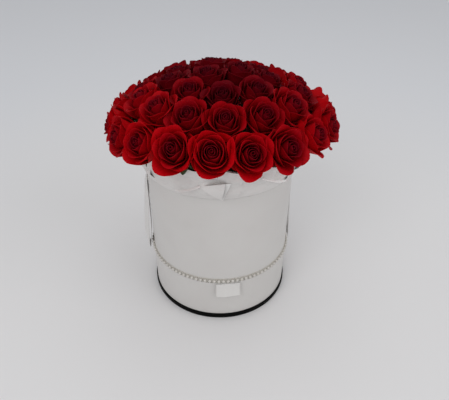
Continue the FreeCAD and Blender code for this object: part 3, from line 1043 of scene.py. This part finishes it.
def shape_collection(name, meshes):
    """A collection of shapes to plant. It isn't linked to the scene, so they don't show by themselves."""
    collection = bpy.data.collections.new(name)
    for mesh in meshes:
        collection.objects.link(bpy.data.objects.new(mesh.name, mesh))
    return collection


def stood(axis, side):
    """Euler angles that put a shape's Z along axis, and its X as near to side as that allows."""
    up = Vector(axis).normalized()
    left = up.cross(Vector(side)).normalized()
    return tuple(Matrix((left.cross(up), left, up)).transposed().to_euler())


def planted(name, seats, shapes, material, size=1.0):
    """A plain mesh of shapes from a collection, one on each seat."""
    points = bpy.data.meshes.new(name + "_seats")
    points.from_pydata([tuple(seat.place) for seat in seats], [], [])
    for value, kind in seat_values.items():
        store(points, value, kind, [getattr(seat, value) for seat in seats])
    store(points, "seat", "INT", np.arange(len(seats)))
    carrier = bpy.data.objects.new(name + "_seats", points)
    bpy.context.scene.collection.objects.link(carrier)
    modifier = carrier.modifiers.new("plant", "NODES")
    modifier.node_group = plant_tree
    modifier[plant_inputs["Shapes"]] = shapes
    modifier[plant_inputs["Size"]] = size
    modifier[plant_inputs["Finish"]] = material
    depsgraph = bpy.context.evaluated_depsgraph_get()
    mesh = bpy.data.meshes.new_from_object(
        carrier.evaluated_get(depsgraph), preserve_all_data_layers=True, depsgraph=depsgraph)
    bpy.data.objects.remove(carrier)
    mesh.name = name
    bake_cells(mesh, len(seats))
    for spent in ("turn", "shape", "size", "seat"):
        mesh.attributes.remove(mesh.attributes[spent])
    return mesh


print("seats carry", list(seat_values))

# %% Separate solids of a CAD node
weld = 0.01 * MM


def solids_of(name):
    """The points of each separate solid of a CAD node."""
    mesh = nodes[name].data
    places = numbers_of(mesh.vertices, "co", 3)
    merged = np.unique(np.round(places / weld), axis=0, return_inverse=True)[1].ravel()
    ends = merged[numbers_of(mesh.edges, "vertices", 2, np.int32)]
    label = np.arange(merged.max() + 1)
    spread = False
    while not spread:
        lower = np.minimum(label[ends[:, 0]], label[ends[:, 1]])
        fresh = label.copy()
        np.minimum.at(fresh, ends[:, 0], lower)
        np.minimum.at(fresh, ends[:, 1], lower)
        fresh = fresh[fresh]
        spread = np.array_equal(fresh, label)
        label = fresh
    return [places[label[merged] == one] for one in np.unique(label[merged])]


pearl_middles = np.array([solid.mean(axis=0) for solid in solids_of("trim_pearls")])
print(len(pearl_middles), "pearls on the trim")

# %% Seed beads between the pearls
bead_radius = 1.1 * MM
bead_sides = 8
bead_rings = np.radians((-60, -20, 20, 60))
tape_low, tape_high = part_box("trim_tape")

bead_mesh = skins_mesh("seed_bead", [lathe(np.cos(bead_rings), np.sin(bead_rings), bead_sides)])
seed_beads = shape_collection("seed_beads", [bead_mesh])
half_step = math.pi / len(pearl_middles)
bead_reach = tape_high.x + 0.5 * bead_radius
bead_seats = []
for pearl_middle in pearl_middles:
    bearing = math.atan2(pearl_middle[1], pearl_middle[0]) + half_step
    for level in (tape_low.z + bead_radius, tape_high.z - bead_radius):
        bead_seats.append(Seat(round_axis(bead_reach, bearing, level), (0, 0, bearing), 0, even, 0.0))
mesh = planted("trim_seed_beads", bead_seats, seed_beads, gilt_tape, bead_radius)
new_piece(mesh, gilt_tape, "box", "gilt_tape")

# %% [markdown]
# ## Roses
# The half-open roses are the heart of the box. A rose is petals on a spiral: each stands a golden
# angle further round than the last, wider and more open towards the outside, with rims that roll back.
# One petal is drawn by integrating its lean from the root to the rim, so changing a few angles opens
# or closes it. Six heads are built that way, and the tree above plants them where the model has blooms.
# The X side of a head is planted downhill, and there the outer petals droop under their own weight.

# %% Sizes of a petal
# One row of leans, in degrees from root to rim, for each whorl from the heart to the outside.
lean_stations = (0.0, 0.2, 0.4, 0.6, 0.8, 0.92, 1.0)
whorl_orders = (0.0, 0.3, 0.55, 0.78, 1.0)
lean_by_whorl = np.array((
    (24, 14, 5, -2, -6, -6, -4),
    (46, 30, 12, -2, -8, -4, 8),
    (64, 48, 24, 6, 0, 14, 42),
    (78, 60, 34, 14, 10, 30, 70),
    (86, 72, 45, 22, 18, 38, 76),
))
# How the rim's four stations open and droop, in degrees.
opening_angles = np.array((4, 8, 14, 20))
droop_angles = np.array((16, 26, 34, 38))
# Lengths, widths and the belly's distance from the axis, in millimetres.
inner_length, outer_longer = 40, 10
inner_belly, outer_wider = 2.6, 20.4
whorl_half_widths = (8, 14, 21, 27, 31)
# Where a petal's belly is, and the rows and columns of petals in the heart and outside it.
belly_at = 0.6
heart_order = 0.25
heart_cells, petal_cells = (7, 15), (9, 13)
# The outline, in shares of a petal's length and width.
root_width, widest_at, rim_narrowing = 0.28, 0.65, 0.12
rim_round, rim_power = 0.26, 2.2
tip_length, tip_width = 0.03, 0.2
# Depths at the rim, and the nearest that a petal comes to the rose's axis.
rim_roll = 2.6 * MM
rim_wave = 0.7 * MM
least_radius = 0.7 * MM
print("petals are", inner_length, "to", inner_length + outer_longer, "mm long")


# %% Petal shape
def petal_line(order, turn, openness, draw):
    """A petal's line from root to rim, moved out until its belly stands where its order puts it."""
    lean = np.array([np.interp(order, whorl_orders, column) for column in lean_by_whorl.T])
    rim = slice(-len(opening_angles), None)
    lean[rim] += openness * order * opening_angles + draw.uniform(-4, 4) * order
    lean[rim] += droop_angles * order ** 3 * max(0, math.cos(turn))
    length = (inner_length + outer_longer * order + draw.uniform(-1.5, 1.5)) * MM
    share, out, up, angle = leaning(lean_stations, lean, length)
    belly = (inner_belly + outer_wider * order ** 0.92) * MM
    out = np.maximum(out + belly - np.interp(belly_at, share, out), least_radius)
    return share, out, up, angle


def petal_grid(order, turn, openness, draw):
    """Points of one petal; order runs from 0 at the heart of the rose to 1 at its outside."""
    line = petal_line(order, turn, openness, draw)
    along, across = skin_lines(*(heart_cells if order < heart_order else petal_cells))
    along = along ** 0.85
    tip = tip_length * order * np.exp(-((across - draw.uniform(-0.2, 0.2)) / tip_width) ** 2)
    share = along * (1 - rim_round * np.abs(across) ** rim_power - tip_length * order + tip)
    radius, height, lean = line_at(line, share)

    half_width = np.interp(order, whorl_orders, whorl_half_widths) * MM
    widening = np.sin(np.clip(along / widest_at, 0, 1) * math.pi / 2)
    width = half_width * (root_width + (1 - root_width) * widening)
    width = width * (1 - rim_narrowing * smooth(along, 0.75, 1.0))
    bearing = turn + across * width / np.maximum(line_at(line, along * 0.95)[0], 2 * MM)

    rolled = rim_roll * order ** 2 * smooth(np.abs(across), 0.5, 1.0) * smooth(along, 0.35, 1.0)
    wave = np.sin(across * draw.uniform(3, 6) + draw.uniform(0, 6))
    offset = rolled + rim_wave * (0.3 + order) * wave * smooth(along, 0.6, 1.0)
    tuck = (0.5 + 0.9 * order) * MM * across * smooth(along, 0.0, 0.4)
    radius = np.maximum(radius + offset * np.cos(lean) + tuck, least_radius / 2)
    return round_axis(radius, bearing, height - offset * np.sin(lean))


outermost = petal_grid(1.0, 0.0, 0.0, np.random.default_rng(3))
print("outermost petal reaches", round(float(np.abs(outermost).max()) / MM), "mm")

# %% Rose heads
head_openness = (-0.8, -0.5, -0.2, 0.1, 0.4, 0.7)
head_seed = 700
petal_count = 21
petal_thickness = 0.45 * MM
golden_turn = math.radians(137.508)
petal_orders = [(number / (petal_count - 1)) ** 1.1 for number in range(petal_count)]


def rose_head(number, openness):
    """One head, from its innermost petal outwards."""
    draw = np.random.default_rng(head_seed + number)
    skins = []
    for petal, order in enumerate(petal_orders):
        turn = petal * golden_turn + draw.uniform(-0.12, 0.12)
        skins.append(skin(petal_grid(order, turn, openness, draw), petal_thickness))
    return skins_mesh(f"rose_head_{number}", skins, petal_orders)


head_meshes = [rose_head(number, openness) for number, openness in enumerate(head_openness)]
rose_heads = shape_collection("rose_heads", head_meshes)
print("rose heads have", [len(mesh.polygons) for mesh in head_meshes], "faces")

# %% [markdown]
# ## Petal finish
# A red rose is velvety inside its petals, and here its heart and the inner faces are painted darkest:
# painted shade of the rose's cup. The backs of the outer petals are clearer red. The skin's marks say
# which face a point is on and how far out its petal stands, so the colour is a mix of a few reds by
# those marks, with veins along the petal, a painted highlight on the rims of the open petals, and
# painted shade towards the dome's top from each rose's tone.

# %% Rose petal finish
rose_petal, place = new_finish("rose_petal_finish")
on_petal = mark(place, "place_on_skin", "Vector")
along = coordinate(on_petal, "Y")
veins = streaks(on_petal, (14.4, 1.92, 5.92), 4.0)
blotch = noise(place, 70.0, 3.0)
# The heart's petals and the inner faces are painted darker: painted shade deep in the rose's cup.
clear_of_heart_shade = eased(mark(place, "order"), 0.15, 0.8)
inside = mixed(clear_of_heart_shade, (106, 0, 20), (182, 0, 12))
outside = mixed(clear_of_heart_shade, (124, 0, 17), (194, 0, 10))
petal_colour = layered(
    (mark(place, "outer_face"), inside, outside),
    # Rims of the open petals are painted lighter: a painted highlight where they roll out into the light.
    (eased(along, 0.8, 1.0) * clear_of_heart_shade, 0.25, (198, 2, 14)),
    (eased(veins, 0.45, 0.75), 0.3, (70, 0, 10)),
    # A random tone of each rose, plus painted shade: the rings nearer the dome's top are painted darker.
    (mark(place, "tone"), 0.78, (64, 0, 14)),
    (1 - eased(along, 0.0, 0.22), 0.8, (120, 96, 40)),
)
close_finish(rose_petal, petal_colour, 0.5 + 0.16 * blotch, 0.6 * veins + 0.3 * blotch, 0.25 * MM,
             {"Sheen Weight": 0.05, "Sheen Roughness": 0.4, "Sheen Tint": paint(255, 30, 40),
              "Specular IOR Level": 0.07})

# %% Read each rose's place from the frame
Rose = namedtuple("Rose", "seat axis stem_end")
rings = ("top", "ring_1", "ring_2", "ring_3")
deepest_settle = 15 * MM
settle_reach = 0.16
settle_power = 1.5
mound_rise = 9 * MM
mound_reach = 0.055
stem_below = 60 * MM


def nearest(solids, point):
    """The solid whose middle is nearest to a point."""
    middles = np.array([solid.mean(axis=0) for solid in solids])
    return solids[np.linalg.norm(middles - point, axis=1).argmin()]


def settled(seat):
    """How far a rose has sunk: a dome set by hand is lower at its sides and back, and peaks at its top."""
    reach = math.hypot(seat[0], seat[1])
    sunk = deepest_settle * low_share(math.atan2(seat[1], seat[0])) * (reach / settle_reach) ** settle_power
    return sunk - mound_rise * max(0, 1 - reach / mound_reach)


def roses_in(ring):
    """The roses of a ring: where each bloom sits on its hip, its axis and how deep its stem goes."""
    found = []
    hips = solids_of(f"hips_{ring}")
    stems = solids_of(f"stems_{ring}")
    for bloom in solids_of(f"blooms_{ring}"):
        middle = bloom.mean(axis=0)
        axis = middle - nearest(hips, middle).mean(axis=0)
        axis /= np.linalg.norm(axis)
        seat = middle + axis * ((bloom - middle) @ axis).min()
        stem_end = ((nearest(stems, seat - stem_below * axis) - seat) @ axis).min()
        found.append(Rose(seat - settled(seat) * axis, axis, stem_end))
    return found


roses = {ring: roses_in(ring) for ring in rings}
for ring, found in roses.items():
    lean = round(math.degrees(math.acos(found[0].axis[2])))
    depth = round(found[0].stem_end / MM)
    print(ring, len(found), "roses, leaning", lean, "degrees, stem ends", depth, "mm")

# %% Plant the rose heads
# A ring's tone darkens its roses: painted shade, greatest at the dome's top and least at the front ring,
# with a random spread per rose.
RingLook = namedtuple("RingLook", "tone size stretch lift sag")
ring_looks = {
    "top": RingLook(tone=1.0, size=1.0, stretch=1.0, lift=0.0, sag=0.0),
    "ring_1": RingLook(tone=0.9, size=1.0, stretch=1.03, lift=0.05, sag=0.0),
    "ring_2": RingLook(tone=0.5, size=1.05, stretch=1.06, lift=0.08, sag=0.1),
    "ring_3": RingLook(tone=0.05, size=1.06, stretch=1.1, lift=0.1, sag=0.45),
}
most_in_piece = 12
spin_spread, tilt_spread, tone_spread = 0.2, 0.06, 0.15
smallest_head, largest_head = 0.96, 1.05
draw = np.random.default_rng(91)


def bloom_seats(ring):
    """One seat for each rose of a ring, with a head, a spin, a small tilt, and a tone: the ring's painted
    shade with a random spread.
    """
    look = ring_looks[ring]
    seats = []
    for rose in roses[ring]:
        downhill = np.array((0, 0, -1)) + draw.normal(0, spin_spread, 3)
        lift = look.lift - look.sag * (rose.seat[0] / math.hypot(*rose.seat[:2])) ** 2
        turn = stood(rose.axis + draw.normal(0, tilt_spread, 3) + (0, 0, lift), downhill)
        shape = int(draw.integers(len(head_openness)))
        tone = float(np.clip(look.tone + draw.normal(0, tone_spread), 0, 1))
        size = look.size * draw.uniform(smallest_head, largest_head)
        seats.append(Seat(rose.seat, turn, shape, (size * look.stretch, size, size), tone))
    return seats


for ring in rings:
    seats = bloom_seats(ring)
    halves = {"": seats}
    if len(seats) > most_in_piece:
        halves = {"_front": [seat for seat in seats if seat.place[1] < 0],
                  "_back": [seat for seat in seats if seat.place[1] >= 0]}
    for half, half_seats in halves.items():
        mesh = planted(f"roses_{ring}{half}", half_seats, rose_heads, rose_petal)
        new_piece(mesh, rose_petal, "insert", "rose_petal", f"blooms_{ring}")

# %% [markdown]
# ## Hips, stems and leaves
# Under each bloom sits a green hip with five sepals, and the stem goes from it into the foam. Little of
# this shows, but it fills the dark gaps and is seen when the insert is lifted. Sepals and leaves lean
# like petals, so the same line draws them. Thorns are small turned spikes on the free part of a stem.

# %% Green finish
vein_slant = 0.3
vein_pitch = 2 * math.pi / 62

rose_green, place = new_finish("rose_green_finish")
on_leaf = mark(place, "place_on_skin", "Vector")
from_rib = abs(coordinate(on_leaf, "X"))
along = coordinate(on_leaf, "Y")
side_veins = 0.5 + 0.5 * waves(along - vein_slant * from_rib, vein_pitch)
rib = 1 - eased(from_rib, 0.03, 0.12)
patches = noise(place, 110.0, 4.0)
green_colour = layered(
    (patches, (30, 58, 26), (58, 88, 40)),
    (eased(side_veins, 0.8, 1.0), 0.35, (84, 112, 60)),
    (rib, 0.5, (98, 122, 66)),
)
close_finish(rose_green, green_colour, 0.42 + 0.2 * patches, side_veins + rib, 0.25 * MM)

# %% Stem finish
rose_stem, place = new_finish("rose_stem_finish")
bark = streaks(place, (260.0, 260.0, 70.0), 4.0)
blush = eased(noise(place, 45.0, 3.0), 0.5, 0.7)
stem_colour = layered((bark, (46, 78, 36), (76, 108, 54)), (blush, 0.35, (96, 60, 46)))
close_finish(rose_stem, stem_colour, 0.5 + 0.2 * bark, bark, 0.2 * MM)

# %% Hip with sepals
# Radius and level of each ring, in millimetres.
hip_profile = ((2.6, -9.4), (3.6, -8.2), (5.0, -6.2), (5.5, -4.0), (5.2, -1.6), (5.4, 0.2), (4.6, 0.8))
hip_seed = 300
hip_sides = 12
sepal_count = 5
sepal_cells = (9, 5)
sepal_lean = np.array((30, 58, 84, 108, 140))
sepal_half_width = 3.6 * MM
sepal_tip = 0.25 * MM
sepal_keel = 0.8 * MM
sepal_reach = 4.4 * MM
sepal_sunk = 0.6 * MM
sepal_thickness = 0.5 * MM


def sepal_grid(turn, draw):
    """Points of one sepal, which stands out of the hip and curls down."""
    lean = sepal_lean + draw.uniform(-14, 14)
    line = leaning(np.linspace(0, 1, len(lean)), lean, draw.uniform(20, 28) * MM)
    along, across = skin_lines(*sepal_cells)
    out, up, angle = line_at(line, along)
    keel = sepal_keel * np.abs(across) * (1 - along)
    reach = sepal_reach + out - keel * np.cos(angle)
    height = up - sepal_sunk + keel * np.sin(angle)
    aside = across * (sepal_half_width * (1 - along) ** 0.7 + sepal_tip)
    x = reach * math.cos(turn) - aside * math.sin(turn)
    y = reach * math.sin(turn) + aside * math.cos(turn)
    return np.stack([x, y, height], axis=-1)


def hip_with_sepals(number):
    """A turned hip with its sepals spaced round it."""
    draw = np.random.default_rng(hip_seed + number)
    radii, levels = np.array(hip_profile).T * MM
    skins = [lathe(radii, levels, hip_sides)]
    for sepal in range(sepal_count):
        turn = 2 * math.pi * sepal / sepal_count + draw.uniform(-0.2, 0.2)
        skins.append(skin(sepal_grid(turn, draw), sepal_thickness))
    return skins_mesh(f"hip_{number}", skins)


print("a hip has", len(hip_profile), "rings and", sepal_count, "sepals")

# %% Stem with thorns
stem_seed = 500
stem_rings, stem_sides = 14, 12
stem_radius = 2.5 * MM
stem_top = -8.5 * MM
stem_unevenness = 0.03
stem_end = roses["top"][0].stem_end
thorn_levels = (-14 * MM, -18.5 * MM, -23 * MM)
thorn_radii = np.array((1.5, 0.9, 0.15)) * MM
thorn_steps = np.array((0, 1.6, 4.2)) * MM
thorn_sides = 6
thorn_root = 0.7 * stem_radius
thorn_hook = 90


def thorn(level, bearing):
    """A spike that stands out of the stem and hooks down."""
    spike = lathe(thorn_radii, thorn_steps, thorn_sides)
    aside, along, grown = spike.points.T
    out = grown + thorn_root
    x = out * math.cos(bearing) - aside * math.sin(bearing)
    y = out * math.sin(bearing) + aside * math.cos(bearing)
    return spike._replace(points=np.column_stack([x, y, level + along - thorn_hook * grown ** 2]))


def thorny_stem(number):
    """A slightly uneven stem with its thorns on the free part."""
    draw = np.random.default_rng(stem_seed + number)
    levels = np.linspace(stem_end, stem_top, stem_rings)
    swelling = 1 - stem_unevenness * draw.random(len(levels))
    skins = [lathe(stem_radius * swelling, levels, stem_sides)]
    skins += [thorn(level, draw.uniform(0, 2 * math.pi)) for level in thorn_levels]
    return skins_mesh(f"stem_{number}", skins)


print("stems go down to", round(stem_end / MM), "mm below the bloom")

# %% Plant hips and stems
shape_count = 3


def plant_under_roses(kind, make_shape, material, slot, node):
    """Plants a few shapes under all roses, ring by ring, each turned its own way."""
    shapes = shape_collection(f"{kind}_shapes", [make_shape(number) for number in range(shape_count)])
    for ring in rings:
        seats = []
        for rose in roses[ring]:
            turn = stood(rose.axis, draw.normal(0, 1, 3))
            seats.append(Seat(rose.seat, turn, int(draw.integers(shape_count)), even, 0.0))
        mesh = planted(f"{kind}_{ring}", seats, shapes, material)
        new_piece(mesh, material, "insert", slot, f"{node}_{ring}")


plant_under_roses("calyxes", hip_with_sepals, rose_green, "rose_green", "hips")
plant_under_roses("thorny_stems", thorny_stem, rose_stem, "rose_stem", "stems")

# %% Leaf shape
leaf_seed = 800
leaf_count = 4
leaf_cells = (28, 9)
leaf_stations, leaf_leans = (0, 0.4, 1), np.array((0, 18, 55))
leaf_length = 32 * MM
leaf_half_width = 8 * MM
leaf_thickness = 0.35 * MM
leaf_ripple = 0.8 * MM
stalk_half_width = 0.8 * MM
stalk_share = 0.2
leaf_teeth = 9
tooth_depth = 0.09
rib_fold = 0.22


def leaf(number):
    """A toothed leaf on a short stalk, folded along its rib and drooping towards its X side."""
    draw = np.random.default_rng(leaf_seed + number)
    line = leaning(leaf_stations, leaf_leans + draw.uniform(-8, 8), leaf_length)
    along, across = skin_lines(*leaf_cells)
    out, up, lean = line_at(line, along)
    blade = np.clip((along - stalk_share) / (1 - stalk_share), 0, 1)
    teeth = 1 + tooth_depth * (1 - (blade * leaf_teeth) % 1)
    outline = np.sin(math.pi * blade ** 0.8) ** 0.8 * teeth
    aside = across * (stalk_half_width + leaf_half_width * outline)
    fold = rib_fold * np.abs(aside) + leaf_ripple * np.sin(9 * along + 2 * across)
    grid = np.stack([out - fold * np.cos(lean), aside, up + fold * np.sin(lean)], axis=-1)
    return skins_mesh(f"leaf_{number}", [skin(grid, leaf_thickness)])


leaf_meshes = [leaf(number) for number in range(leaf_count)]
print("leaves have", [len(mesh.polygons) for mesh in leaf_meshes], "faces")

# %% Leaves at the edge of the dome
leaf_outward = 1.2
least_aside, most_aside = 0.5, 0.9
most_rise = 0.25
leaf_lean = 0.2
smallest_leaf = 0.75
leaf_below = 4 * MM

leaf_shapes = shape_collection("leaf_shapes", leaf_meshes)
leaf_seats = []
for rose in roses["ring_3"][::2]:
    outward = Vector((rose.seat[0], rose.seat[1], 0)).normalized()
    aside = Vector((-outward.y, outward.x, 0)) * draw.choice((-1, 1)) * draw.uniform(least_aside, most_aside)
    direction = outward * leaf_outward + aside + Vector((0, 0, draw.uniform(0.0, most_rise)))
    turn = stood(direction, outward * leaf_lean - Vector((0, 0, 1)))
    size = draw.uniform(smallest_leaf, 1.0)
    shape = int(draw.integers(leaf_count))
    leaf_seats.append(Seat(rose.seat - leaf_below * rose.axis, turn, shape, (size, size, size), 0.0))
mesh = planted("rose_leaves", leaf_seats, leaf_shapes, rose_green)
new_piece(mesh, rose_green, "insert", "rose_green")
